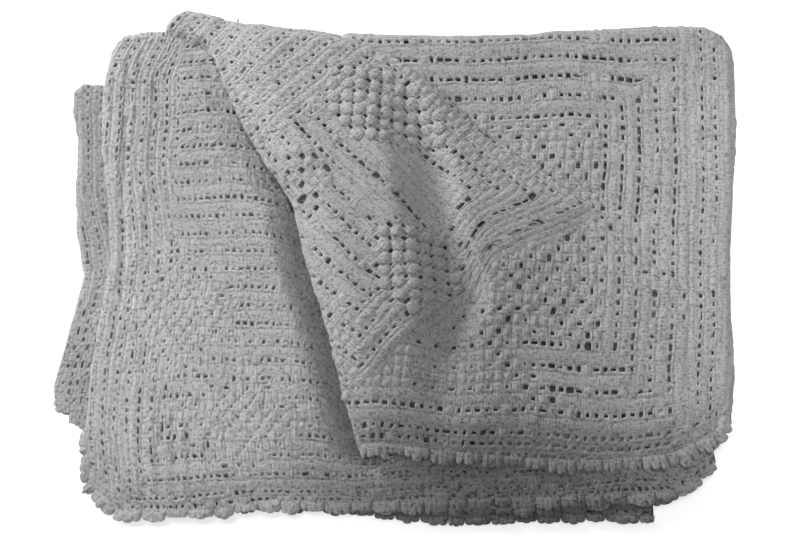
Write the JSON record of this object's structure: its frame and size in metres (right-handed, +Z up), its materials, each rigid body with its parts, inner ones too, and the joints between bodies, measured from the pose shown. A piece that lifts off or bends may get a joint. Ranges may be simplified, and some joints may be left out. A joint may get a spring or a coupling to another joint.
{
  "type": "crochet baby blanket",
  "caption": "Folded crochet baby blanket in cotton yarn: soft stacked layers with scalloped hems at the front and a top flap pushed back into a pleat.",
  "frame": {"origin": "middle of the blanket's box, on the surface it lies on", "axes": "+X along the longer side towards the side fold on the right, +Y towards the half-way fold at the back, +Z up"},
  "size_m": [0.4842, 0.393, 0.0504],
  "materials": {
    "cotton": "matte cotton yarn"
  },
  "bodies": {
    "root": {"blanket": "cotton"}
  },
  "joints": []
}
